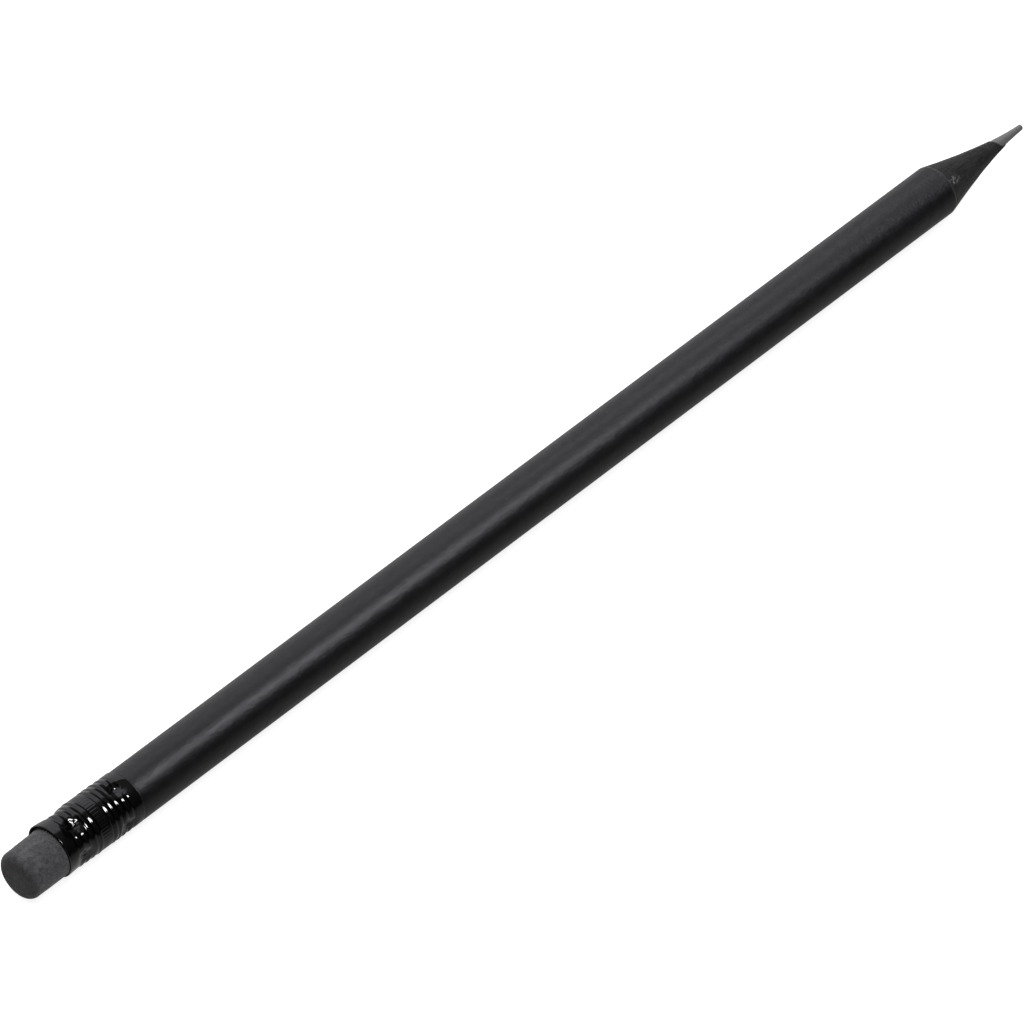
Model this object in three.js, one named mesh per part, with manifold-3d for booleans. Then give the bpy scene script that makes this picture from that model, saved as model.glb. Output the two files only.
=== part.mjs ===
// Round graphite pencil with a ferrule and an eraser.
// Millimetres, +Z up. The pencil lies along X with its point towards +X. The origin is at the
// bottom centre of its box, on the surface that it lies on.

import * as THREE from 'three';
import { mergeVertices } from 'three/addons/utils/BufferGeometryUtils.js';
import Module from 'manifold-3d';

// ---- Driving dimensions (mm) ----

const TOTAL_LENGTH = 190;
const BARREL_DIAMETER = 7.3;
const LACQUER_THICKNESS = 0.08;

// The sharpened end. The exponent makes its outline hollow: 1 would be a straight cone.
const CONE_LENGTH = 17.6;
const CONE_EXPONENT = 1.5;
const CONE_STEPS = 9;

const LEAD_DIAMETER = 2;
const LEAD_TIP_RADIUS = 0.41;
const WOOD_FEATHER_EDGE = 0.03;
const GLUE_THICKNESS = 0.06;
const TENON_LENGTH = 5.6;

const ERASER_PROTRUSION = 6.1;
const ERASER_LENGTH = 12.4;
const ERASER_PLUG_DIAMETER = 6.68;
const ERASER_LIP_DIAMETER = 6.8;
const ERASER_END_DIAMETER = 6.66;
const ERASER_EDGE_RADIUS = 1.15;
const ERASER_SQUEEZE_LENGTH = 0.3;

// Ferrule. Its places along the axis are measured from the lip.
const FERRULE_LENGTH = 12.9;
const FERRULE_BORE_DIAMETER = 6.74;
const FERRULE_LIP_DIAMETER = 7.56;
const FERRULE_LIP_WIDTH = 0.35;
const FERRULE_NECK_DIAMETER = 7.28;
const FERRULE_NECK_END = 1.9;
const FERRULE_BEAD_DIAMETER = 7.56;
const FERRULE_GROOVE_DIAMETER = 7.2;
const FERRULE_BAND_DIAMETER = 7.44;
const FERRULE_SKIRT_DIAMETER = 7.38;
const BEAD_WIDTH = 0.72;
const ERASER_SIDE_BEADS = [2.43, 3.37, 4.24];
const FLUTED_BAND = { from: 5.15, to: 7.3 };
const WOOD_SIDE_BEADS = [7.88, 8.68, 9.66, 10.64];
const SKIRT_START = 11.42;

// Flat sides of every turned piece. One of them faces straight down, so the pencil lies still.
const SIDES = 24;

// Play between touching pieces, so that no two solids share space.
const FIT_GAP = 0.02;

// ---- Derived places, measured from the eraser's free end ----

const ferruleStart = ERASER_PROTRUSION;
const ferruleEnd = ferruleStart + FERRULE_LENGTH;
const tenonStart = ferruleEnd - TENON_LENGTH;
const coatStart = ferruleEnd + FIT_GAP;
const coneStart = TOTAL_LENGTH - CONE_LENGTH;

// ---- Derived radii ----

const barrelRadius = BARREL_DIAMETER / 2;
const woodRadius = barrelRadius - LACQUER_THICKNESS;
const leadRadius = LEAD_DIAMETER / 2;
const leadBoreRadius = leadRadius + FIT_GAP;
const tenonRadius = FERRULE_BORE_DIAMETER / 2 - FIT_GAP;
const axisHeight = FERRULE_BEAD_DIAMETER / 2;

// ---- Materials ----

function material(color, roughness, metalness) {
  return new THREE.MeshStandardMaterial({ color, roughness, metalness });
}

const lacquer = material(0x1a1b1e, 0.42, 0);
const dyedWood = material(0x1c1b1b, 0.85, 0);
const graphite = material(0x404144, 0.45, 0.2);
const glue = material(0x2b2724, 0.6, 0);
const blackMetal = material(0x08080a, 0.12, 0.4);
const eraserRubber = material(0x36373b, 0.95, 0);

// ---- Turning and cutting ----

// Turns an outline of [place, radius] points about the pencil's axis. Each radius is that of the
// circle which the flat sides touch.
function turned(outline) {
  const cornerFactor = 1 / Math.cos(Math.PI / SIDES);
  const points = outline.map(([place, radius]) => new THREE.Vector2(radius * cornerFactor, place));
  const geometry = new THREE.LatheGeometry(points, SIDES, Math.PI / SIDES);
  geometry.rotateZ(-Math.PI / 2);
  return geometry;
}

// A solid bar: the outline is joined to the axis at both ends.
function turnedBar(outline) {
  const first = outline[0][0];
  const last = outline[outline.length - 1][0];
  return turned([[first, 0], ...outline, [last, 0]]);
}

// A tube: the outer outline, then a straight bore back to the first point.
function turnedTube(outer, boreRadius) {
  const first = outer[0];
  const last = outer[outer.length - 1];
  return turned([...outer, [last[0], boreRadius], [first[0], boreRadius], first]);
}

const wasm = await Module();
wasm.setup();

function solidFrom(geometry) {
  const positionsOnly = geometry.clone();
  positionsOnly.deleteAttribute('normal');
  positionsOnly.deleteAttribute('uv');
  const merged = mergeVertices(positionsOnly);
  const vertProperties = new Float32Array(merged.attributes.position.array);
  const triVerts = new Uint32Array(merged.index.array);
  return new wasm.Manifold(new wasm.Mesh({ numProp: 3, vertProperties, triVerts }));
}

function geometryFrom(solid) {
  const mesh = solid.getMesh();
  const geometry = new THREE.BufferGeometry();
  geometry.setAttribute('position', new THREE.BufferAttribute(mesh.vertProperties, 3));
  geometry.setIndex(new THREE.BufferAttribute(mesh.triVerts, 1));
  geometry.computeVertexNormals();
  return geometry;
}

// A box that is longer than the pencil and spans the given widths and heights.
function longBlock(yFrom, yTo, zFrom, zTo) {
  const geometry = new THREE.BoxGeometry(2 * TOTAL_LENGTH, yTo - yFrom, zTo - zFrom);
  geometry.translate(TOTAL_LENGTH / 2, (yFrom + yTo) / 2, (zFrom + zTo) / 2);
  return solidFrom(geometry);
}

// ---- The sharpened outline ----

// The hollow curve falls from the barrel's radius at the shoulder to the blunt tip.
function coneRadius(place) {
  const share = (TOTAL_LENGTH - place) / CONE_LENGTH;
  return LEAD_TIP_RADIUS + (barrelRadius - LEAD_TIP_RADIUS) * share ** CONE_EXPONENT;
}

function conePlace(radius) {
  const drop = (radius - LEAD_TIP_RADIUS) / (barrelRadius - LEAD_TIP_RADIUS);
  return TOTAL_LENGTH - CONE_LENGTH * drop ** (1 / CONE_EXPONENT);
}

function coneOutline(from, to, steps) {
  const outline = [];
  for (let i = 0; i <= steps; i += 1) {
    const place = from + ((to - from) * i) / steps;
    outline.push([place, coneRadius(place)]);
  }
  return outline;
}

// ---- Wood casing, cut along the middle into two slats with the glue between them ----

function woodCasing() {
  const woodConeStart = conePlace(woodRadius);
  const featherEdge = conePlace(leadBoreRadius + WOOD_FEATHER_EDGE);
  const outer = [
    [tenonStart, tenonRadius],
    [coatStart, tenonRadius],
    [coatStart, woodRadius],
    ...coneOutline(woodConeStart, featherEdge, CONE_STEPS),
  ];
  return solidFrom(turnedTube(outer, leadBoreRadius));
}

const casing = woodCasing();
const reach = BARREL_DIAMETER;
const slatFace = GLUE_THICKNESS / 2 + FIT_GAP;
const glueFace = GLUE_THICKNESS / 2;

function slat(zFrom, zTo) {
  return geometryFrom(casing.intersect(longBlock(-reach, reach, zFrom, zTo)));
}

function glueLine(yFrom, yTo) {
  return geometryFrom(casing.intersect(longBlock(yFrom, yTo, -glueFace, glueFace)));
}

// ---- Lacquer coat ----

function lacquerCoat() {
  const innerRadius = woodRadius + FIT_GAP;
  const outer = [
    [coatStart, barrelRadius],
    [coneStart, barrelRadius],
    [conePlace(innerRadius), innerRadius],
  ];
  return turned([...outer, [coatStart, innerRadius], outer[0]]);
}

// ---- Graphite core with its sharpened, rounded point ----

function graphiteCore() {
  const pointStart = conePlace(leadRadius);
  const roundStart = TOTAL_LENGTH - LEAD_TIP_RADIUS;
  const outline = [[tenonStart, leadRadius], ...coneOutline(pointStart, roundStart, CONE_STEPS)];
  const endRadius = coneRadius(roundStart);
  const roundSteps = 4;
  for (let i = 1; i < roundSteps; i += 1) {
    const angle = ((Math.PI / 2) * i) / roundSteps;
    outline.push([roundStart + LEAD_TIP_RADIUS * Math.sin(angle), endRadius * Math.cos(angle)]);
  }
  return turned([[tenonStart, 0], ...outline, [TOTAL_LENGTH, 0]]);
}

// ---- Ferrule ----

function bead(middle) {
  const beadRadius = FERRULE_BEAD_DIAMETER / 2;
  const grooveRadius = FERRULE_GROOVE_DIAMETER / 2;
  const half = BEAD_WIDTH / 2;
  const top = half * Math.SQRT1_2;
  const shoulderRadius = grooveRadius + (beadRadius - grooveRadius) * Math.SQRT1_2;
  return [
    [middle - half, grooveRadius],
    [middle - top, shoulderRadius],
    [middle, beadRadius],
    [middle + top, shoulderRadius],
    [middle + half, grooveRadius],
  ];
}

function flutedBand() {
  const bandRadius = FERRULE_BAND_DIAMETER / 2;
  const grooveRadius = FERRULE_GROOVE_DIAMETER / 2;
  const ramp = 0.15;
  return [
    [FLUTED_BAND.from - ramp, grooveRadius],
    [FLUTED_BAND.from, bandRadius],
    [FLUTED_BAND.to, bandRadius],
    [FLUTED_BAND.to + ramp, grooveRadius],
  ];
}

function ferrule() {
  const lipRadius = FERRULE_LIP_DIAMETER / 2;
  const neckRadius = FERRULE_NECK_DIAMETER / 2;
  const skirtRadius = FERRULE_SKIRT_DIAMETER / 2;
  const lipEdge = 0.15;
  const outer = [
    [0, lipRadius - lipEdge],
    [lipEdge, lipRadius],
    [FERRULE_LIP_WIDTH, lipRadius],
    [FERRULE_NECK_END, neckRadius],
    ...ERASER_SIDE_BEADS.flatMap(bead),
    ...flutedBand(),
    ...WOOD_SIDE_BEADS.flatMap(bead),
    [SKIRT_START, skirtRadius],
    [FERRULE_LENGTH, skirtRadius],
  ];
  const placed = outer.map(([place, radius]) => [ferruleStart + place, radius]);
  return turnedTube(placed, FERRULE_BORE_DIAMETER / 2);
}

// ---- Eraser ----

function eraserPlug() {
  const endRadius = ERASER_END_DIAMETER / 2;
  const outline = [];
  const edgeSteps = 6;
  for (let i = 0; i <= edgeSteps; i += 1) {
    const angle = ((Math.PI / 2) * i) / edgeSteps;
    const place = ERASER_EDGE_RADIUS * (1 - Math.cos(angle));
    outline.push([place, endRadius - ERASER_EDGE_RADIUS * (1 - Math.sin(angle))]);
  }
  outline.push([ERASER_PROTRUSION - ERASER_SQUEEZE_LENGTH, ERASER_LIP_DIAMETER / 2]);
  outline.push([ERASER_PROTRUSION, ERASER_PLUG_DIAMETER / 2]);
  outline.push([ERASER_LENGTH, ERASER_PLUG_DIAMETER / 2]);
  return turnedBar(outline);
}

// ---- Assembly ----

const pencil = new THREE.Group();

function addPiece(name, geometry, finish) {
  const mesh = new THREE.Mesh(geometry, finish);
  mesh.name = name;
  pencil.add(mesh);
}

addPiece('upper_slat', slat(slatFace, reach), dyedWood);
addPiece('lower_slat', slat(-reach, -slatFace), dyedWood.clone());
addPiece('glue_line_left', glueLine(0, reach), glue);
addPiece('glue_line_right', glueLine(-reach, 0), glue.clone());
addPiece('graphite_core', graphiteCore(), graphite);
addPiece('lacquer_coat', lacquerCoat(), lacquer);
addPiece('ferrule', ferrule(), blackMetal);
addPiece('eraser_plug', eraserPlug(), eraserRubber);

pencil.position.set(-TOTAL_LENGTH / 2, 0, axisHeight);

export default pencil;
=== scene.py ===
"""Round black pencil with a ferrule and an eraser, lying on a pale studio floor.

The frame gives the sizes and places that the CAD model already holds. The sizes of shapes are in
mm. Mesh points, the camera, the stage and the lamps are in metres. A "place" is measured along
the pencil from the eraser's free end, a "distance" from the ferrule's lip, and an "angle" turns
about the pencil's axis from +Y towards +Z.
"""
import math

import bpy
import numpy as np
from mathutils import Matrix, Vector


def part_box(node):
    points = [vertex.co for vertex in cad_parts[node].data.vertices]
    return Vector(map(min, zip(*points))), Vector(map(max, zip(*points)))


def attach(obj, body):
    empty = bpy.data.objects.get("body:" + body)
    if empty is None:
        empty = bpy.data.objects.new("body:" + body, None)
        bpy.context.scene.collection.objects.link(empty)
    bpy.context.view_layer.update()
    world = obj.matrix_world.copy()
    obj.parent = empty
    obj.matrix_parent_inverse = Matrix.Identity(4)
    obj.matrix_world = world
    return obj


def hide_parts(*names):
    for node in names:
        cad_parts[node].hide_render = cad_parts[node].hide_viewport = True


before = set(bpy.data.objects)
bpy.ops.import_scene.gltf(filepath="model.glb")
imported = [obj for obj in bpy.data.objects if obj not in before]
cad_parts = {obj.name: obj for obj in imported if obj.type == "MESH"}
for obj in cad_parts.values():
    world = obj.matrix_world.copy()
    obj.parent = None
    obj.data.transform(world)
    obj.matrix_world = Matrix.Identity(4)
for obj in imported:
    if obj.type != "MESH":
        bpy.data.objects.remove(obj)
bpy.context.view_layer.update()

MM = 0.001
BODY = "root"
SEED = 7

# ---- Sizes, mostly read from the frame ----

eraser_low, eraser_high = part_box("eraser_plug")
ferrule_low, ferrule_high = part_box("ferrule")
coat_low, coat_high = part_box("lacquer_coat")
core_low, core_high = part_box("graphite_core")

START_X = eraser_low.x / MM
AXIS_Z = (coat_low.z + coat_high.z) / 2 / MM
LENGTH = core_high.x / MM - START_X
LIP = ferrule_low.x / MM - START_X
FERRULE_LENGTH = ferrule_high.x / MM - START_X - LIP
FERRULE_RADIUS = (ferrule_high.z - ferrule_low.z) / 2 / MM
PLUG_END = eraser_high.x / MM - START_X
TENON_START = core_low.x / MM - START_X
COAT_START = coat_low.x / MM - START_X
BARREL_RADIUS = (coat_high.z - coat_low.z) / 2 / MM
COAT_THICKNESS = 0.08
COAT_GAP = 0.02
COAT_BORE = BARREL_RADIUS - COAT_THICKNESS
WOOD_RADIUS = COAT_BORE - COAT_GAP

# ---- The sharpened end ----

CONE_LENGTH = 17.6
CONE_EXPONENT = 1.5
TIP_RADIUS = 0.41
# Thickness of the coat and the wood where the sharpener left their edges.
FEATHER = 0.015
LEAD_RADIUS = 0.95
LEAD_OFFSET = 0.08
LEAD_OFFSET_ANGLE = math.radians(35)
RAGGED_EDGE = 0.028
# Edges that run once round the pencil follow one slice of a noise sheet.
RAGGED_SLICE = 0.1
CHIP_SLICE = 0.3
TONGUE_DEPTH = 0.15
TONGUE_ANGLE = math.radians(218)
TONGUE_WIDTH = math.radians(58)


# ---------------------------------------------------------------- camera

CAMERA_AZIMUTH = math.radians(-47.2)
CAMERA_ELEVATION = math.radians(43.88)
CAMERA_DISTANCE = 1.1596
CAMERA_LENS_MM = 318.45
CAMERA_TARGET = Vector((-0.00529, 0.000025, 0.00297))
SENSOR_MM = 36.0
CLIP_START = 0.05
CLIP_END = 20.0


def direction(azimuth, elevation):
    """Unit vector from the object towards a viewer at that azimuth and elevation."""
    flat = math.cos(elevation)
    return Vector((math.sin(azimuth) * flat, -math.cos(azimuth) * flat, math.sin(elevation)))


def aim(obj, place, target):
    obj.location = place
    obj.rotation_euler = (target - place).to_track_quat("-Z", "Y").to_euler()


def add_camera():
    data = bpy.data.cameras.new("camera")
    data.lens = CAMERA_LENS_MM
    data.sensor_width = SENSOR_MM
    data.clip_start = CLIP_START
    data.clip_end = CLIP_END
    camera = bpy.data.objects.new("camera", data)
    bpy.context.scene.collection.objects.link(camera)
    towards = direction(CAMERA_AZIMUTH, CAMERA_ELEVATION)
    aim(camera, CAMERA_TARGET + towards * CAMERA_DISTANCE, CAMERA_TARGET)
    bpy.context.scene.camera = camera


# ---------------------------------------------------------------- smooth noise for shapes

rng = np.random.default_rng(SEED)


def smooth(x):
    x = np.clip(x, 0.0, 1.0)
    return x * x * (3.0 - 2.0 * x)


class Noise:
    """Smooth noise between -1 and 1 on a sheet of random values that wraps both ways."""

    def __init__(self, rows, columns):
        self.table = rng.uniform(-1.0, 1.0, (rows, columns))

    def __call__(self, u, v):
        rows, columns = self.table.shape
        u = np.mod(u, 1.0) * rows
        v = np.mod(v, 1.0) * columns
        i, j = np.floor(u).astype(int), np.floor(v).astype(int)
        fu, fv = smooth(u - i), smooth(v - j)
        i, j = i % rows, j % columns
        i2, j2 = (i + 1) % rows, (j + 1) % columns
        low = self.table[i, j] * (1 - fu) + self.table[i2, j] * fu
        high = self.table[i, j2] * (1 - fu) + self.table[i2, j2] * fu
        return low * (1 - fv) + high * fv


# ---------------------------------------------------------------- meshes

TURN = 2 * math.pi


def angles(count):
    """Evenly spaced angles all the way round, with the seam under the pencil."""
    return -math.pi / 2 + np.arange(count) * (TURN / count)


def points(place, radius, angle):
    """Points in metres from places and radii in mm and angles about the axis."""
    place, radius, angle = np.broadcast_arrays(place, radius, angle)
    x = (START_X + place) * MM
    y = radius * np.cos(angle) * MM
    z = (AXIS_Z + radius * np.sin(angle)) * MM
    return np.stack([x, y, z], axis=-1)


def band_faces(rows, columns, rows_wrap=False):
    """Four-sided faces between rows of a grid whose every row is a closed loop."""
    faces = []
    for i in range(rows if rows_wrap else rows - 1):
        a = i * columns
        b = ((i + 1) % rows) * columns
        for j in range(columns):
            k = (j + 1) % columns
            faces.append((a + j, a + k, b + k, b + j))
    return faces


def mesh_from_grid(name, grid, rows_wrap=False, first_pole=None, last_pole=None):
    """A closed skin over rows of points. Each row is a closed loop round the piece. The rows
    themselves either wrap into a tube's wall or end in a pole point at each end."""
    rows, columns = grid.shape[:2]
    vertices = grid.reshape(-1, 3).tolist()
    faces = band_faces(rows, columns, rows_wrap)
    for pole, row, flip in ((first_pole, 0, True), (last_pole, rows - 1, False)):
        if pole is None:
            continue
        centre = len(vertices)
        vertices.append(list(pole))
        base = row * columns
        for j in range(columns):
            k = (j + 1) % columns
            edge = (base + k, base + j) if flip else (base + j, base + k)
            faces.append((centre, *edge))
    return finish_mesh(name, vertices, faces)


SHARP_ANGLE = math.radians(50)


def finish_mesh(name, vertices, faces):
    mesh = bpy.data.meshes.new(name)
    mesh.from_pydata(vertices, [], faces)
    mesh.validate()
    mesh.shade_smooth()
    mesh.set_sharp_from_angle(angle=SHARP_ANGLE)
    obj = bpy.data.objects.new(name, mesh)
    bpy.context.scene.collection.objects.link(obj)
    return obj


def add_piece(obj, material, slot, *nodes):
    obj.data.materials.append(material)
    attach(obj, BODY)
    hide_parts(*nodes)
    return obj


# ---------------------------------------------------------------- outlines of the sharpened end

def cone_radius(place):
    """Radius of the hollow cone, which goes on growing past the shoulder."""
    share = np.clip((LENGTH - place) / CONE_LENGTH, 0.0, None)
    return TIP_RADIUS + (BARREL_RADIUS - TIP_RADIUS) * share ** CONE_EXPONENT


def cone_place(radius):
    """The place where the cone has that radius."""
    share = (radius - TIP_RADIUS) / (BARREL_RADIUS - TIP_RADIUS)
    return LENGTH - CONE_LENGTH * share ** (1 / CONE_EXPONENT)


edge_noise = Noise(4, 40)


def core_radius(angle):
    """Radius of the core's bare part. Low down the blade left a tongue of wood over the core."""
    ragged = RAGGED_EDGE * edge_noise(RAGGED_SLICE, angle / TURN)
    off_tongue = np.mod(angle - TONGUE_ANGLE + math.pi, TURN) - math.pi
    tongue = TONGUE_DEPTH * np.exp(-(off_tongue / TONGUE_WIDTH) ** 2)
    return LEAD_RADIUS + LEAD_OFFSET * np.cos(angle - LEAD_OFFSET_ANGLE) - tongue + ragged


# ---------------------------------------------------------------- lacquer coat

COAT_COLUMNS = 240
COAT_ROWS = 380
# The coat's last stretch, over the shoulder, has closer rows.
SHOULDER_SHARE = 0.985
SHOULDER_ROWS = 24
SHOULDER_BEND = 0.012
CHIP_SIZE = 0.07
STREAK_HEIGHT = 0.0013
SWELL_HEIGHT = 0.003
# Lengths over which the unevenness fades out at the ferrule and at the cut.
FADE_AT_FERRULE = 0.4
FADE_AT_CUT = 0.5
COAT_ROUNDING = 0.03
COAT_ROUNDING_LENGTH = 0.12
# Keeps the uneven outside within the CAD size and off the bore.
COAT_SKIM = 0.004

streak_noise = Noise(9, 90)
swell_noise = Noise(24, 6)
chip_noise = Noise(4, 70)


def build_lacquer_coat():
    """The coat runs over the shoulder and thins to nothing where the sharpener cut it."""
    angle = angles(COAT_COLUMNS)[None, :]
    turn = angle / TURN
    end = cone_place(COAT_BORE + FEATHER) + CHIP_SIZE * chip_noise(CHIP_SLICE, turn)
    share = np.linspace(0.0, 1.0, COAT_ROWS)[:-1, None] * SHOULDER_SHARE
    share = np.concatenate([share, np.linspace(SHOULDER_SHARE, 1.0, SHOULDER_ROWS)[:, None]])
    place = COAT_START + share * (end - COAT_START)
    wave = STREAK_HEIGHT * streak_noise(share, turn) + SWELL_HEIGHT * swell_noise(share, turn)
    wave = wave * smooth((place - COAT_START) / FADE_AT_FERRULE)
    wave = wave * smooth((end - place) / FADE_AT_CUT)
    rounded = COAT_ROUNDING * (1 - smooth((place - COAT_START) / COAT_ROUNDING_LENGTH))
    both = np.exp((BARREL_RADIUS - cone_radius(place)) / SHOULDER_BEND)
    shoulder = BARREL_RADIUS - SHOULDER_BEND * np.log(1.0 + both)
    radius = np.maximum(shoulder - rounded + wave - COAT_SKIM, COAT_BORE + COAT_SKIM)
    outer = points(place, radius, angle)
    inner_end = points(end, COAT_BORE, angle)
    inner_start = points(COAT_START, COAT_BORE, angle)
    grid = np.concatenate([outer, inner_end, inner_start])
    return mesh_from_grid("lacquer_skin", grid, rows_wrap=True)


# ---------------------------------------------------------------- wood slats and glue

SLAT_COLUMNS = 150
TENON_ROWS = 76
CONE_ROWS = 130
# The slats stop short of the middle of the joint, where the glue is.
JOINT_CLEAR = 0.05
TENON_CLEAR = 0.03
GRAIN_HEIGHT = 0.012
SHAVING_HEIGHT = 0.012
# Shares of the cone over which the grain begins and ends.
GRAIN_RUN_IN = 0.03
GRAIN_RUN_OUT = 0.08
# The wood stands slightly proud of the cone beyond the coat's cut edge.
WOOD_SWELL = 0.02
WOOD_SWELL_LENGTH = 4.0
THINNEST_WOOD = 0.01

grain_noise = Noise(3, 130)
shaving_noise = Noise(18, 5)


def build_slat(name, first_angle):
    """Half of the casing: half of the tenon in the ferrule, of the barrel and of the cone. Each
    cross-section runs over the outside, then back round the bore."""
    angle = (first_angle + np.linspace(0.0, math.pi, SLAT_COLUMNS))[None, :]
    turn = angle / TURN
    bore = core_radius(angle) + COAT_GAP
    cone_end = cone_place(bore + FEATHER)
    cone_start = cone_place(WOOD_RADIUS)
    share = np.linspace(0.0, 1.0, CONE_ROWS)[:, None]
    cone_places = cone_start + share * (cone_end - cone_start)
    grain = GRAIN_HEIGHT * grain_noise(share, turn) + SHAVING_HEIGHT * shaving_noise(share, turn)
    grain = grain * smooth(share / GRAIN_RUN_IN) * smooth((1 - share) / GRAIN_RUN_OUT)
    swell = WOOD_SWELL * smooth((cone_places - cone_start) / WOOD_SWELL_LENGTH)
    cone = cone_radius(cone_places) + swell + grain
    tenon_places = np.linspace(TENON_START, COAT_START, TENON_ROWS)[:, None] + 0 * angle
    tenon = inner_limit(tenon_places - LIP, angle) - TENON_CLEAR
    step = 0 * tenon[-1:] + WOOD_RADIUS
    place = np.concatenate([tenon_places, tenon_places[-1:], cone_places])
    radius = np.concatenate([tenon, step, cone])
    outside = points(place, radius, angle)
    inside = points(place, np.minimum(bore, radius - THINNEST_WOOD), angle)[:, ::-1]
    grid = np.concatenate([outside, inside], axis=1)
    if math.sin(first_angle + math.pi / 2) > 0:
        grid[..., 2] = np.maximum(grid[..., 2], (AXIS_Z + JOINT_CLEAR) * MM)
    else:
        grid[..., 2] = np.minimum(grid[..., 2], (AXIS_Z - JOINT_CLEAR) * MM)
    rows, columns = grid.shape[:2]
    faces = band_faces(rows, columns)
    for row, flip in ((0, True), (rows - 1, False)):
        base = row * columns
        last = base + columns - 1
        for j in range(SLAT_COLUMNS - 1):
            quad = (base + j, base + j + 1, last - 1 - j, last - j)
            faces.append(quad[::-1] if flip else quad)
    return finish_mesh(name, grid.reshape(-1, 3).tolist(), faces)


GLUE_HALF = 0.03
GLUE_FEATHER = 0.02
GLUE_ROWS = 60
GLUE_INSIDE_FERRULE = WOOD_RADIUS - 0.5


def build_glue_film(name, side):
    """A film between the slats, from the core out to the wood's surface."""
    angle = 0.0 if side > 0 else math.pi
    bore = float(core_radius(np.array(angle))) + COAT_GAP
    cone = np.linspace(cone_place(WOOD_RADIUS), cone_place(bore + GLUE_FEATHER), GLUE_ROWS)
    place = np.concatenate([[TENON_START, COAT_START, COAT_START], cone])
    start = [GLUE_INSIDE_FERRULE, GLUE_INSIDE_FERRULE, WOOD_RADIUS]
    radius = np.concatenate([start, cone_radius(cone)])
    corners = ((radius, -GLUE_HALF), (radius, GLUE_HALF), (bore, GLUE_HALF), (bore, -GLUE_HALF))
    grid = np.zeros((len(place), len(corners), 3))
    for column, (away, rise) in enumerate(corners):
        grid[:, column, 0] = (START_X + place) * MM
        grid[:, column, 1] = side * away * MM
        grid[:, column, 2] = (AXIS_Z + side * rise) * MM
    first = grid[0].mean(axis=0)
    last = grid[-1].mean(axis=0)
    return mesh_from_grid(name, grid, first_pole=first, last_pole=last)


# ---------------------------------------------------------------- graphite core

CORE_COLUMNS = 120
CORE_ROWS = 150
CAP_ROWS = 12
CAP_LENGTH = TIP_RADIUS * 0.6
CAP_BLUNTNESS = 0.8
CORE_COVER = 0.03
# The blade took a little more off the lead where it left the wood.
LEAD_STEP = 0.05
LEAD_STEP_LENGTH = 1.3
LEAD_MARKS = 0.010
LEAD_SCRATCHES = 0.004
MARKS_RUN_IN = 0.05

lead_noise = Noise(10, 14)
lead_fine = Noise(60, 10)


def build_core():
    """The lead, from inside the ferrule to a blunt tip. Its cut part starts under the wood."""
    angle = angles(CORE_COLUMNS)[None, :]
    turn = angle / TURN
    core = core_radius(angle)
    begin = cone_place(core + CORE_COVER)
    end = LENGTH - CAP_LENGTH
    share = np.linspace(0.0, 1.0, CORE_ROWS)[:, None]
    place = begin + share * (end - begin)
    marks = LEAD_MARKS * lead_noise(share, turn) + LEAD_SCRATCHES * lead_fine(share, turn)
    step = LEAD_STEP * np.exp(-((place - begin) / LEAD_STEP_LENGTH) ** 2)
    cut = cone_radius(place) - step + marks * smooth(share / MARKS_RUN_IN)
    radius = np.minimum(core, cut)
    cap_angle = np.linspace(0.0, math.pi / 2, CAP_ROWS)[1:-1, None]
    cap_place = end + (LENGTH - end) * np.sin(cap_angle) + 0 * angle
    cap_radius = radius[-1:] * np.cos(cap_angle) ** CAP_BLUNTNESS
    grid = np.concatenate([
        points(TENON_START, core, angle),
        points(place, radius, angle),
        points(cap_place, cap_radius, angle),
    ])
    first = points(TENON_START, 0.0, 0.0)
    last = points(LENGTH, 0.0, 0.0)
    return mesh_from_grid("graphite_point", grid, first_pole=first, last_pole=last)


# ---------------------------------------------------------------- ferrule

LIP_RADIUS = 3.755
LIP_ROLL = 0.085
NECK_RADIUS = 3.665
NECK_END = 1.85
NECK_TAPER = 1.5
NECK_TAPER_POWER = 1.15
NECK_FALL = 0.25
GROOVE_RADIUS = 3.64
# Ridges: middle from the lip, half width and crest radius. The side towards the lip is steep.
RIDGES = [
    (2.42, 0.5, 3.74), (3.38, 0.5, 3.75), (4.36, 0.5, 3.76), (5.38, 0.54, 3.78),
    (7.95, 0.48, 3.76), (8.74, 0.5, 3.77), (9.74, 0.5, 3.77), (10.72, 0.5, 3.75),
]
STEEP_SIDE = 0.88
LONG_SIDE = 1.6
BAND = (5.3, 7.35)
BAND_RADIUS = 3.725
BAND_RAMP = 0.16
FLUTES = 48
FLUTE_DEPTH = 0.04
FLUTE_START = BAND[0] + 0.35
FLUTE_END = BAND[1] - 0.1
FLUTE_RUN_IN = 0.2
FLUTE_RUN_OUT = 0.45
# Half width of a flute, where 1 is half of the distance to the next one.
FLUTE_HALF = 0.42
SKIRT_RADIUS = BARREL_RADIUS + 0.075
SKIRT_START = 11.5
SKIRT_PINCH = 0.015
SKIRT_RISE = 0.4
SKIRT_RISE_START = SKIRT_START - 0.3
# The ferrule was pressed on slightly askew. Its lip stands off towards the far upper side.
LEAN = 0.13
LEAN_EVERYWHERE = 0.045
LEAN_LENGTH = 12.0
LEAN_ANGLE = math.radians(35)
# Punched stakes: distance from the lip and angle in degrees.
FRONT = 125.2
ERASER_STAKES = [
    (2.95, FRONT - 13), (2.85, FRONT + 59), (3.1, FRONT - 93), (3.1, FRONT + 131),
    (3.0, FRONT - 157),
]
WOOD_STAKES = [(10.8, FRONT - 25), (10.3, FRONT + 64), (10.6, FRONT + 155), (10.9, FRONT - 115)]
STAKES = ERASER_STAKES + WOOD_STAKES
STAKE_DEPTH = 0.46
STAKE_WIDTH = 1.08
STAKE_OVAL = 1.05
STAKE_POWER = 2.5
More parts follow.
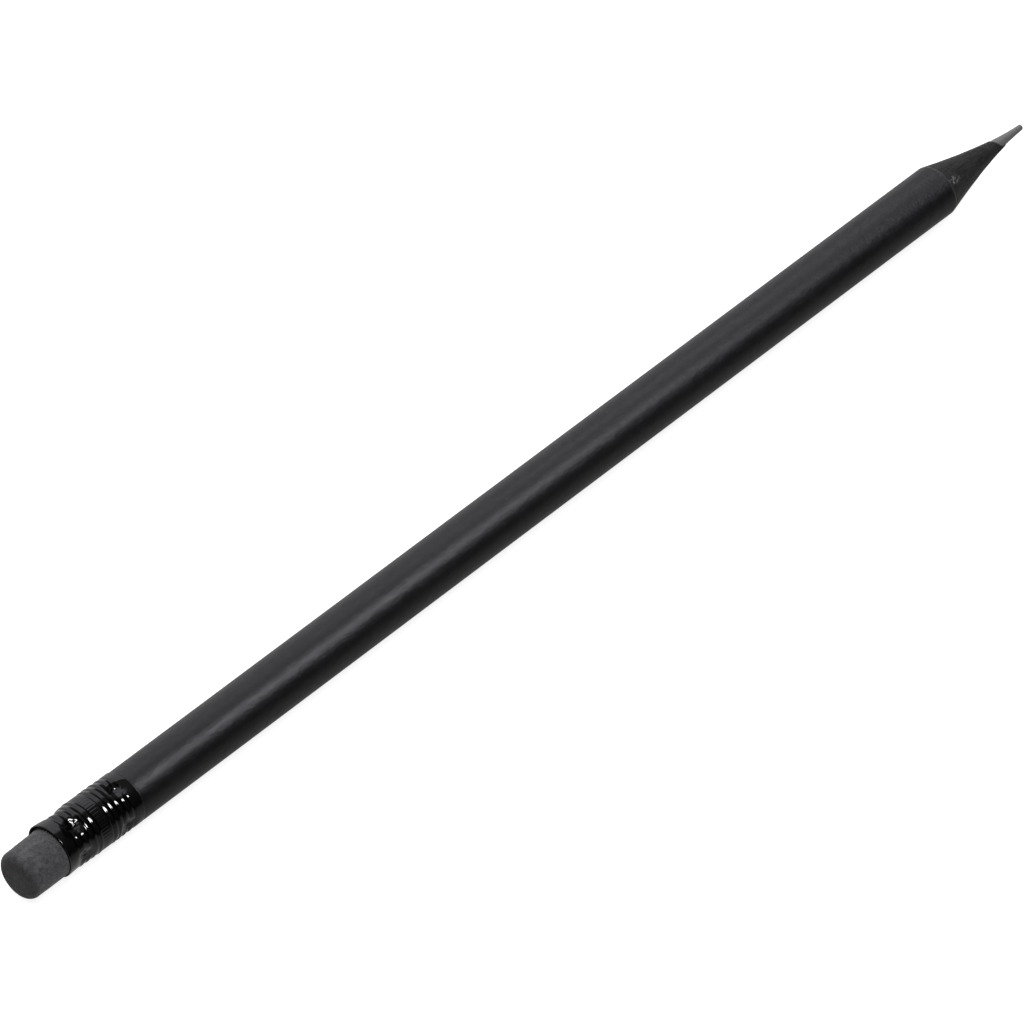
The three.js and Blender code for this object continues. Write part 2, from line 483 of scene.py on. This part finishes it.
# The places below are in widths of a stake's dish, from its middle.
DISH_EDGE = 1.25
DISH_FLATNESS = 0.8
PIT_DEPTH = 0.08
PIT_EDGE = 0.42
PIT_WALL = 0.16
CRUMPLE = 0.075
# Slides the pattern of the crumpled metal along the ferrule.
CRUMPLE_SHIFT = 0.4
CRUMPLE_RING = 0.75
CRUMPLE_RING_WIDTH = 0.3
PIERCED_REACH = 0.22
PIERCED_RADIUS = 3.08
# The punch also pressed the skirt flat beside two of the stakes, least at its end.
PRESSED_STAKES = WOOD_STAKES[0::2]
FACET_TURN = 6
FACET_FADE = math.radians(24)
FACET_LIMIT = 1.2
FACET_START = 10.75
FACET_RAMP = 0.5
FACET_DEPTH_AT_END = 0.045
FACET_SLOPE = 0.21
SHEET = 0.12
BORE_RADIUS = 3.38
INNER_CLEAR = 0.05
END_BEVEL = 0.04
DENT_HEIGHT = 0.005
DENTS_START = 0.3
DENTS_RAMP = 0.5
FERRULE_COLUMNS = FLUTES * 8
FERRULE_ROWS = 196
ROLL_ROWS = 16
WALL_ROWS = 46
WALL_START = 0.5

dent_noise = Noise(30, 40)
crumple_noise = Noise(22, 44)


def ferrule_outline(distance):
    """Radius of the rolled tube at a distance from the lip, before it is punched."""
    radius = np.full_like(distance, GROOVE_RADIUS)
    for middle, half, crest in RIDGES:
        side = half * np.where(distance < middle, STEEP_SIDE, LONG_SIDE)
        off = np.clip((distance - middle) / side, -1.0, 1.0)
        rise = (1 + np.cos(math.pi * off)) / 2
        radius = np.maximum(radius, GROOVE_RADIUS + (crest - GROOVE_RADIUS) * rise)
    band = smooth((distance - BAND[0] + BAND_RAMP) / BAND_RAMP)
    band = band * smooth((BAND[1] + BAND_RAMP - distance) / BAND_RAMP)
    radius = np.maximum(radius, GROOVE_RADIUS + (BAND_RADIUS - GROOVE_RADIUS) * band)
    skirt = smooth((distance - SKIRT_RISE_START) / SKIRT_RISE)
    pinch = SKIRT_PINCH * smooth((distance - SKIRT_START) / (FERRULE_LENGTH - SKIRT_START))
    radius = np.maximum(radius, GROOVE_RADIUS + (SKIRT_RADIUS - pinch - GROOVE_RADIUS) * skirt)
    taper = np.clip((NECK_END - distance) / NECK_TAPER, 0.0, 1.0)
    neck = NECK_RADIUS + (LIP_RADIUS - NECK_RADIUS) * taper ** NECK_TAPER_POWER
    fall = smooth((distance - NECK_END + NECK_FALL) / NECK_FALL)
    return np.where(distance < NECK_END, neck + (GROOVE_RADIUS - neck) * fall, radius)


def flutes(distance, angle):
    """Narrow lengthwise grooves pressed into the central band."""
    inside = smooth((distance - FLUTE_START) / FLUTE_RUN_IN)
    inside = inside * smooth((FLUTE_END - distance) / FLUTE_RUN_OUT)
    across = np.abs(np.mod(angle * FLUTES / TURN, 1.0) - 0.5) * 2
    return -FLUTE_DEPTH * inside * smooth((FLUTE_HALF - across) / FLUTE_HALF)


def turn_between(angle, degrees):
    """Signed turn from an angle in degrees to an angle in radians, the short way round."""
    return np.mod(angle - math.radians(degrees) + math.pi, TURN) - math.pi


def stake_reach(distance, angle, stake):
    """How far a place is from a stake's middle, where 1 is the width of its dish."""
    middle, degrees = stake
    across = turn_between(angle, degrees) * FERRULE_RADIUS
    return np.hypot(across / STAKE_OVAL, distance - middle) / STAKE_WIDTH


def press_skirt(radius, distance, angle, degrees):
    """Presses the skirt flat beside a stake. One edge is sharp, the other fades into the wall."""
    depth = FACET_DEPTH_AT_END + FACET_SLOPE * (FERRULE_LENGTH - distance)
    depth = depth * smooth((distance - FACET_START) / FACET_RAMP)
    off = np.clip(turn_between(angle, degrees + FACET_TURN), -FACET_LIMIT, FACET_LIMIT)
    flat = (SKIRT_RADIUS - depth) / np.cos(off)
    wall = SKIRT_RADIUS - depth * (1 - smooth(off / FACET_FADE))
    facet = np.where(off < 0, flat, wall)
    return np.where(distance > FACET_START, np.minimum(radius, facet), radius)


def punch(radius, distance, angle):
    """Dents punched through the beads, which lock the eraser and the wood. Each is a dish that
    flattens the beads, with a small flat-bottomed pit and a ring of crumpled metal."""
    for stake in STAKES:
        reach = stake_reach(distance, angle, stake)
        flat = smooth(DISH_EDGE - reach) * DISH_FLATNESS
        radius = radius * (1 - flat) + GROOVE_RADIUS * flat
        radius = radius - STAKE_DEPTH * np.exp(-reach ** STAKE_POWER)
    for _, degrees in PRESSED_STAKES:
        radius = press_skirt(radius, distance, angle, degrees)
    crumple = crumple_noise(distance / FERRULE_LENGTH + CRUMPLE_SHIFT, angle / TURN)
    for stake in STAKES:
        reach = stake_reach(distance, angle, stake)
        radius = radius - PIT_DEPTH * smooth((PIT_EDGE - reach) / PIT_WALL)
        ring = np.exp(-((reach - CRUMPLE_RING) / CRUMPLE_RING_WIDTH) ** 2)
        radius = radius + CRUMPLE * ring * crumple
    return radius


def shell_bore(distance, angle):
    """Inner radius of the dented shell."""
    plain = np.full(np.broadcast(distance, angle).shape, BORE_RADIUS + SHEET)
    return np.minimum(punch(plain, distance, angle) - SHEET, BORE_RADIUS)


def inner_limit(distance, angle):
    """Radius that the eraser and the wood keep to in the shell. They show through each pit."""
    limit = shell_bore(distance, angle) - INNER_CLEAR
    for stake in STAKES:
        pierced = stake_reach(distance, angle, stake) < PIERCED_REACH
        limit = np.where(pierced, np.maximum(limit, PIERCED_RADIUS), limit)
    return limit


def lean(grid, distance):
    """Shifts rows of ferrule points sideways by how far the tube stands off the pencil's axis."""
    shift = (LEAN_EVERYWHERE + LEAN * np.clip(1 - distance / LEAN_LENGTH, 0.0, 1.0)) * MM
    grid[..., 1] += shift * math.cos(LEAN_ANGLE)
    grid[..., 2] += shift * math.sin(LEAN_ANGLE)
    return grid


def build_ferrule():
    """The tube in one loop of rows: rolled lip, outside, end edge and bore."""
    angle = angles(FERRULE_COLUMNS)[None, :]
    roll = np.linspace(0.0, math.pi, ROLL_ROWS)[:-1, None]
    roll_middle = float(ferrule_outline(np.array([[LIP_ROLL]]))[0, 0]) - LIP_ROLL
    lip_radius = roll_middle - LIP_ROLL * np.cos(roll)
    lip_place = LIP + LIP_ROLL - LIP_ROLL * np.sin(roll)
    lip = lean(points(lip_place, lip_radius, angle), 0.0)
    distance = np.linspace(LIP_ROLL, FERRULE_LENGTH - END_BEVEL, FERRULE_ROWS)[:, None]
    radius = punch(ferrule_outline(distance) + flutes(distance, angle), distance, angle)
    dents = DENT_HEIGHT * dent_noise(distance / FERRULE_LENGTH, angle / TURN)
    radius = radius + dents * smooth((distance - DENTS_START) / DENTS_RAMP)
    radius = np.minimum(radius, FERRULE_RADIUS)
    outer = lean(points(LIP + distance, radius, angle), distance)
    edge = lean(points(LIP + FERRULE_LENGTH, radius[-1:] - END_BEVEL, angle), FERRULE_LENGTH)
    distance = np.linspace(FERRULE_LENGTH, WALL_START, WALL_ROWS)[:, None]
    wall = lean(points(LIP + distance, shell_bore(distance, angle), angle), distance)
    grid = np.concatenate([lip, outer, edge, wall])
    return mesh_from_grid("ferrule_shell", grid, rows_wrap=True)


# ---------------------------------------------------------------- eraser

ERASER_RADIUS = 3.375
ERASER_END_RADIUS = 3.335
ERASER_EDGE = 1.12
ERASER_DOME = 0.05
ERASER_FIRST_RING = 0.04
# How far the eraser's full width goes on inside the lip, and where its gripped part begins.
ERASER_OVERLAP = 0.1
PLUG_START = 0.35
# The eraser's free end droops towards the lower side.
ERASER_DROOP = 0.06
LUMP_HEIGHT = 0.02
RUBBER_GRAIN_HEIGHT = 0.008
LUMP_RAMP = 0.8
ERASER_COLUMNS = 280
ERASER_END_ROWS = 30
ERASER_SIDE_ROWS = 60
PLUG_ROWS = 90

eraser_lumps = Noise(8, 14)
eraser_grain = Noise(60, 200)


def build_eraser():
    """The plug: slightly domed end, round edge, free side and the part that the shell grips."""
    angle = angles(ERASER_COLUMNS)[None, :]
    turn = angle / TURN
    flat = np.linspace(ERASER_FIRST_RING, ERASER_END_RADIUS - ERASER_EDGE, ERASER_END_ROWS)[:-1]
    bend = np.linspace(0.0, math.pi / 2, ERASER_END_ROWS)
    side = np.linspace(ERASER_EDGE, LIP + ERASER_OVERLAP, ERASER_SIDE_ROWS)[1:]
    place = np.concatenate([
        ERASER_DOME * (flat / flat[-1]) ** 2,
        ERASER_DOME + (ERASER_EDGE - ERASER_DOME) * (1 - np.cos(bend)),
        side,
    ])[:, None]
    taper = (side - ERASER_EDGE) / (LIP - ERASER_EDGE)
    radius = np.concatenate([
        flat,
        ERASER_END_RADIUS - ERASER_EDGE + ERASER_EDGE * np.sin(bend),
        ERASER_END_RADIUS + (ERASER_RADIUS - ERASER_END_RADIUS) * np.minimum(taper, 1.0),
    ])[:, None]
    share = place / PLUG_END
    lumps = LUMP_HEIGHT * eraser_lumps(share, turn)
    lumps = lumps + RUBBER_GRAIN_HEIGHT * eraser_grain(share, turn)
    lumps = lumps * smooth(radius / LUMP_RAMP)
    lumps = lumps * smooth((LIP + ERASER_OVERLAP - place) / LUMP_RAMP)
    outside = points(place, radius + lumps, angle)
    droop = ERASER_DROOP * np.clip(1 - place / LIP, 0.0, 1.0) * MM
    outside[..., 1] -= droop * math.cos(LEAN_ANGLE)
    outside[..., 2] -= droop * math.sin(LEAN_ANGLE)
    distance = np.linspace(PLUG_START, PLUG_END - LIP, PLUG_ROWS)[:, None]
    plug = points(LIP + distance, inner_limit(distance, angle), angle)
    grid = np.concatenate([outside, lean(plug, distance)])
    first = outside[0].mean(axis=0)
    last = points(PLUG_END, 0.0, 0.0)
    return mesh_from_grid("eraser", grid, first_pole=first, last_pole=last)


# ---------------------------------------------------------------- node helpers

def feed(tree, socket, value):
    """Gives a socket a constant, or a link if the value is another node's socket."""
    if isinstance(value, bpy.types.NodeSocket):
        tree.links.new(value, socket)
    else:
        socket.default_value = value


def add_node(tree, kind, inputs, **settings):
    node = tree.nodes.new(kind)
    for key, value in settings.items():
        setattr(node, key, value)
    for key, value in inputs.items():
        feed(tree, node.inputs[key], value)
    return node


class Shader:
    """A short way to write a node material."""

    def __init__(self, name):
        self.material = bpy.data.materials.new(name)
        self.material.use_nodes = True
        self.tree = self.material.node_tree
        self.surface = self.tree.nodes["Principled BSDF"]
        self.place = self.tree.nodes.new("ShaderNodeTexCoord").outputs["Object"]

    def set(self, **values):
        """Sets the surface's own sockets to constants."""
        for name, value in values.items():
            self.surface.inputs[name.replace("_", " ")].default_value = value

    def link(self, value, name):
        self.tree.links.new(value, self.surface.inputs[name])

    def node(self, kind, inputs, **settings):
        return add_node(self.tree, kind, inputs, **settings)

    def stretched(self, x, y, z):
        return self.node("ShaderNodeMapping", {"Vector": self.place, "Scale": (x, y, z)}).outputs[0]

    def noise(self, vector, scale, detail=3.0, roughness=0.55):
        inputs = {"Vector": vector, "Scale": scale, "Detail": detail, "Roughness": roughness}
        return self.node("ShaderNodeTexNoise", inputs).outputs["Fac"]

    def cells(self, vector, scale):
        inputs = {"Vector": vector, "Scale": scale}
        return self.node("ShaderNodeTexVoronoi", inputs).outputs["Distance"]

    def span(self, value, low, high, to_low=0.0, to_high=1.0):
        inputs = {"Value": value, "From Min": low, "From Max": high,
                  "To Min": to_low, "To Max": to_high}
        return self.node("ShaderNodeMapRange", inputs).outputs[0]

    def math(self, operation, a, b):
        return self.node("ShaderNodeMath", {0: a, 1: b}, operation=operation).outputs[0]

    def mix(self, share, a, b):
        return self.node("ShaderNodeMix", {0: share, 6: a, 7: b}, data_type="RGBA").outputs[2]

    def bump(self, height, depth, below=None, strength=1.0):
        """Relief of that depth in mm, over the relief below it."""
        inputs = {"Height": height, "Distance": depth * MM, "Strength": strength}
        if below is not None:
            inputs["Normal"] = below
        return self.node("ShaderNodeBump", inputs).outputs[0]


def grey(value, blue=1.0):
    return (value, value, value * blue, 1.0)


# ---------------------------------------------------------------- materials
# Noise scales are in cycles to the metre, colours are linear.

def lacquer_material():
    dark, light, pit = grey(0.0056, 1.15), grey(0.0094, 1.15), grey(0.001)
    speck, cut_edge_highlight = grey(0.08), grey(0.05)
    s = Shader("satin_black_lacquer")
    s.set(Metallic=0.0, IOR=1.55)
    streaks = s.noise(s.stretched(420, 1500, 1500), 1.0, 4.0, 0.6)
    waves = s.noise(s.stretched(1000, 1200, 1200), 1.0, 3.0, 0.6)
    grain = s.noise(s.place, 3200.0, 3.0, 0.6)
    pits = s.span(s.cells(s.place, 380.0), 0.025, 0.05)
    dust = s.span(s.cells(s.stretched(260, 330, 330), 1.0), 0.022, 0.04, 1.0, 0.0)
    body = s.mix(s.span(waves, 0.4, 0.6), dark, light)
    # The pits are darkened in colour as well as sunk by the bump: painted shade in the pits.
    body = s.mix(pits, pit, body)
    body = s.mix(s.math("MULTIPLY", dust, 0.4), body, speck)
    # A lighter line along the coat's cut edge: a painted highlight on the rim.
    along = s.node("ShaderNodeSeparateXYZ", {0: s.place}).outputs["X"]
    uneven = s.math("ADD", along, s.math("MULTIPLY", streaks, 0.0002))
    end = (START_X + cone_place(COAT_BORE + FEATHER)) * MM
    cut = s.span(uneven, end - 0.0003, end - 0.0001)
    s.link(s.mix(cut, body, cut_edge_highlight), "Base Color")
    s.link(s.span(streaks, 0.3, 0.7, 0.36, 0.44), "Roughness")
    relief = s.bump(waves, 0.05)
    relief = s.bump(streaks, 0.01, relief)
    relief = s.bump(grain, 0.018, relief)
    s.link(s.bump(pits, 0.02, relief), "Normal")
    return s.material


def enamel_material():
    black, speck = grey(0.0006), grey(0.04)
    s = Shader("gloss_black_enamel")
    s.set(Metallic=0.0, IOR=1.58)
    smear = s.noise(s.stretched(500, 250, 250), 1.0)
    dust = s.span(s.cells(s.place, 900.0), 0.05, 0.09, 1.0, 0.0)
    s.link(s.mix(s.math("MULTIPLY", dust, 0.15), black, speck), "Base Color")
    s.link(s.span(smear, 0.3, 0.7, 0.035, 0.075), "Roughness")
    s.link(s.bump(s.noise(s.place, 1500.0), 0.006), "Normal")
    return s.material


def eraser_material():
    dark, light = grey(0.019, 1.05), grey(0.055, 1.05)
    grit, worn = grey(0.066, 1.05), grey(0.020, 1.05)
    s = Shader("grey_eraser_rubber")
    s.set(Metallic=0.0, IOR=1.45, Roughness=0.85, Sheen_Weight=0.1, Sheen_Roughness=0.5)
    broad = s.noise(s.place, 620.0, 3.0, 0.65)
    blotch = s.noise(s.place, 1500.0, 3.0, 0.65)
    grain = s.noise(s.place, 3600.0, 3.0, 0.7)
    body = s.mix(s.span(blotch, 0.4, 0.6), dark, light)
    body = s.mix(s.span(grain, 0.41, 0.59, 0.0, 0.66), body, grit)
    s.link(s.mix(s.span(broad, 0.38, 0.6, 0.5, 0.0), body, worn), "Base Color")
    s.link(s.bump(grain, 0.15, s.bump(blotch, 0.07)), "Normal")
    return s.material


# A pale scuff on the cone: its middle, its squeeze along x, y and z, and its fading edge in m.
SCUFF_PLACE = 173.6
SCUFF_ANGLE = math.radians(131)
SCUFF_SQUEEZE = (0.6, 1.5, 1.5)
SCUFF_EDGE = (0.0003, 0.001)


def wood_material():
    dark, light, thread, scuff = grey(0.0016), grey(0.009), grey(0.032), grey(0.15)
    s = Shader("black_dyed_wood")
    s.set(Metallic=0.0, IOR=1.38, Sheen_Weight=0.07, Sheen_Roughness=0.5)
    grain = s.noise(s.stretched(110, 1500, 1500), 1.0, 5.0, 0.65)
    fibre = s.noise(s.stretched(600, 4500, 4500), 1.0, 4.0, 0.7)
    body = s.mix(s.span(grain, 0.4, 0.6), dark, light)
    body = s.mix(s.span(fibre, 0.5, 0.68, 0.0, 0.38), body, thread)
    centre = tuple(points(SCUFF_PLACE, cone_radius(SCUFF_PLACE), SCUFF_ANGLE))
    offset = s.node("ShaderNodeVectorMath", {0: s.place, 1: centre}, operation="SUBTRACT")
    smear = s.node("ShaderNodeMapping", {"Vector": offset.outputs[0], "Scale": SCUFF_SQUEEZE})
    away = s.node("ShaderNodeVectorMath", {0: smear.outputs[0]}, operation="LENGTH")
    near = s.span(away.outputs["Value"], *SCUFF_EDGE, 1.0, 0.0)
    crumbs = s.span(s.noise(s.place, 2600.0, 4.0, 0.6), 0.49, 0.58)
    s.link(s.mix(s.math("MULTIPLY", near, crumbs), body, scuff), "Base Color")
    s.link(s.span(grain, 0.3, 0.7, 0.55, 0.75), "Roughness")
    s.link(s.bump(fibre, 0.06, s.bump(grain, 0.12)), "Normal")
    return s.material


def graphite_material():
    dark, light = grey(0.075), grey(0.16)
    s = Shader("sharpened_graphite")
    s.set(IOR=1.9)
    turning = s.noise(s.stretched(2500, 500, 500), 1.0)
    grit = s.noise(s.place, 3500.0, 4.0, 0.6)
    s.link(s.mix(s.span(grit, 0.3, 0.7), dark, light), "Base Color")
    s.link(s.span(grit, 0.3, 0.7, 0.0, 0.35), "Metallic")
    s.link(s.span(turning, 0.3, 0.7, 0.32, 0.48), "Roughness")
    relief = s.bump(grit, 0.02, strength=0.5)
    s.link(s.bump(turning, 0.02, relief, strength=0.6), "Normal")
    return s.material


def glue_material():
    dark, light = (0.010, 0.009, 0.008, 1), (0.024, 0.021, 0.018, 1)
    s = Shader("dried_wood_glue")
    s.set(Metallic=0.0, Roughness=0.55)
    s.link(s.mix(s.span(s.noise(s.place, 3000.0), 0.3, 0.7), dark, light), "Base Color")
    return s.material


# ---------------------------------------------------------------- floor and bounce card

FLOOR_HALF = 3.0
FLOOR_GLOW = 0.88
CARD_HALF = 2.0
CARD_DROP = 0.0002
SHEET_CELLS = 24
CARD_LEVEL = 0.32
CARD_BEHIND = 0.60
CARD_REACH = 0.026
CARD_STEP = 0.004
# Under the eraser's free end, up to this stretch of x, the card is brighter by this factor.
# Along the rest of the pencil the card is darker: a painted shadow of the pencil.
OPEN_END = (-0.090, -0.082)
OPEN_END_LEVEL = 2.1
WHITE = (1, 1, 1, 1)
BLACK = (0, 0, 0, 1)


def floor_material():
    s = Shader("pale_studio_floor")
    s.set(Metallic=0.0, Roughness=0.9, Emission_Color=WHITE, Emission_Strength=FLOOR_GLOW)
    cloud = s.span(s.noise(s.place, 3.0, 2.0), 0.3, 0.7)
    s.link(s.mix(cloud, grey(0.46), grey(0.48)), "Base Color")
    return s.material


def card_material():
    """Its glow is painted light. Even brightness behind the pencil. In front it falls with the
    distance from the pencil, and a painted pencil shadow darkens it, except under the eraser's free
    end."""
    s = Shader("glowing_bounce_card")
    s.set(Roughness=1.0, Base_Color=BLACK, Specular_IOR_Level=0.0, Emission_Color=WHITE)
    split = s.node("ShaderNodeSeparateXYZ", {0: s.place})
    forward = s.math("MAXIMUM", s.math("MULTIPLY", split.outputs["Y"], -1.0 / CARD_REACH), 0.0)
    fall = s.math("ADD", s.math("POWER", forward, 2.0), 1.0)
    # Painted shadow: the card is lifted only under the eraser's free end, past the pencil's shadow.
    open_end = s.span(split.outputs["X"], *OPEN_END, OPEN_END_LEVEL, 1.0)
    front = s.math("DIVIDE", s.math("MULTIPLY", open_end, CARD_LEVEL), fall)
    behind = s.span(split.outputs["Y"], 0.0, CARD_STEP)
    level = s.node("ShaderNodeMix", {0: behind, 2: front, 3: CARD_BEHIND}).outputs[0]
    s.link(level, "Emission Strength")
    return s.material


def flat_sheet(name, half, height):
    """A level square sheet, centred under the pencil and divided into square cells."""
    steps = np.linspace(-half, half, SHEET_CELLS + 1)
    vertices = [(x, y, height) for y in steps for x in steps]
    row = SHEET_CELLS + 1
    faces = [(j * row + i, j * row + i + 1, (j + 1) * row + i + 1, (j + 1) * row + i)
             for j in range(SHEET_CELLS) for i in range(SHEET_CELLS)]
    return finish_mesh(name, vertices, faces)


def add_floor():
    """The pale floor is what is seen. The pencil is lit and mirrored by the glowing bounce card
    under it, whose painted glow fades towards the front as a lit floor does at the edge of its
    lamp."""
    floor = flat_sheet("floor", FLOOR_HALF, 0.0)
    floor.data.materials.append(floor_material())
    floor.visible_glossy = False
    floor.visible_diffuse = False
    card = flat_sheet("glowing_bounce_card", CARD_HALF, -CARD_DROP)
    card.data.materials.append(card_material())
    card.visible_camera = False
    card.visible_shadow = False
    return floor


# ---------------------------------------------------------------- world and lamps

# Levels of the backdrop by turn about the X axis, as a share of half a turn from the back.
WORLD_AROUND = [
    (0.0, 0.73), (0.08, 0.73), (0.15, 0.73), (0.27, 0.84), (0.415, 0.95), (0.47, 0.17),
    (0.70, 0.075), (1.0, 0.02),
]
# Levels of the backdrop from the left side (0) to the right side (1).
WORLD_SIDES = [(0.0, 0.1), (0.28, 0.1), (0.38, 1.0), (0.79, 1.0), (0.83, 0.14), (1.0, 0.06)]
WORLD_BLUE = 1.03


def add_world():
    """A pale backdrop behind the pencil and a dim room on the camera's side. The backdrop ends
    to the right and left, so the room is dim along the pencil's own direction too."""
    world = bpy.data.worlds.new("studio")
    bpy.context.scene.world = world
    world.use_nodes = True
    tree = world.node_tree

    def ramp(value, levels):
        node = add_node(tree, "ShaderNodeValToRGB", {0: value})
        elements = node.color_ramp.elements
        while len(elements) < len(levels):
            elements.new(0.5)
        for element, (position, level) in zip(elements, levels):
            element.position = position
            element.color = (level, level, WORLD_BLUE * level, 1)
        return node.outputs[0]

    coordinate = tree.nodes.new("ShaderNodeTexCoord").outputs["Generated"]
    split = add_node(tree, "ShaderNodeSeparateXYZ", {0: coordinate})
    x, y, z = split.outputs["X"], split.outputs["Y"], split.outputs["Z"]
    turn = add_node(tree, "ShaderNodeMath", {0: z, 1: y}, operation="ARCTAN2").outputs[0]
    share = add_node(tree, "ShaderNodeMath", {0: turn, 1: math.pi}, operation="DIVIDE").outputs[0]
    along = add_node(tree, "ShaderNodeMapRange", {"Value": x, "From Min": -1.0}).outputs[0]
    both = {0: ramp(share, WORLD_AROUND), 1: ramp(along, WORLD_SIDES)}
    level = add_node(tree, "ShaderNodeVectorMath", both, operation="MULTIPLY").outputs[0]
    tree.links.new(level, tree.nodes["Background"].inputs["Color"])


def add_light(name, place, size, power, only, colour=(1, 1, 1), mirrored=True):
    """A soft lamp, aimed at the origin, that lights only some objects and is never seen."""
    data = bpy.data.lights.new(name, "AREA")
    data.shape = "RECTANGLE"
    data.size, data.size_y = size
    data.energy = power
    data.color = colour
    lamp = bpy.data.objects.new(name, data)
    bpy.context.scene.collection.objects.link(lamp)
    lamp.visible_camera = False
    lamp.visible_glossy = mirrored
    aim(lamp, Vector(place), Vector((0, 0, 0)))
    group = bpy.data.collections.new(name + "_lights")
    for obj in only:
        group.objects.link(obj)
    lamp.light_linking.receiver_collection = group


def add_lights(floor, eraser, ferrule, coat, point):
    """One soft key from the camera's side, split so that each finish gets its own share, with
    haze from above the point and a fill from the back."""
    add_light("key_matt", place=(0.015, -0.283, 0.479), size=(0.20, 0.27), power=3.2,
              colour=(0.98, 0.97, 1.0), only=[eraser, *point])
    add_light("key_gloss", place=(-0.168, -0.283, 0.479), size=(0.28, 0.155), power=3.5,
              colour=(1.0, 1.0, 1.02), only=[ferrule])
    add_light("key_satin", place=(0.100, -0.1435, 0.2440), size=(0.10, 0.145), power=0.25,
              colour=(0.98, 0.96, 1.05), only=[coat])
    add_light("haze", place=(0.19, -0.015, 0.237), size=(0.40, 0.12), power=0.11, only=[coat])
    add_light("back_haze", place=(0.26, 0.12, 0.20), size=(0.25, 0.25), power=0.06, only=point)
    add_light("back_fill", place=(0.1, 0.7, 0.7), size=(1.0, 0.8), power=9.0, mirrored=False,
              only=[eraser, ferrule, coat, *point])
    add_light("floor_lamp", place=(0.0, 0.0, 2.0), size=(2.5, 2.5), power=60.0, mirrored=False,
              only=[floor])


# ---------------------------------------------------------------- assembly

add_camera()
wood = wood_material()
glue = glue_material()
eraser = add_piece(build_eraser(), eraser_material(), "eraser_rubber", "eraser_plug")
ferrule = add_piece(build_ferrule(), enamel_material(), "ferrule_metal", "ferrule")
coat = add_piece(build_lacquer_coat(), lacquer_material(), "lacquer", "lacquer_coat")
point = [
    add_piece(build_slat("wood_upper", 0.0), wood, "dyed_wood", "upper_slat"),
    add_piece(build_slat("wood_lower", math.pi), wood, "dyed_wood", "lower_slat"),
    add_piece(build_glue_film("glue_left", 1.0), glue, "wood_glue", "glue_line_left"),
    add_piece(build_glue_film("glue_right", -1.0), glue, "wood_glue", "glue_line_right"),
    add_piece(build_core(), graphite_material(), "graphite", "graphite_core"),
]
floor = add_floor()
add_world()
add_lights(floor, eraser, ferrule, coat, point)
bpy.context.scene.view_settings.view_transform = "Standard"
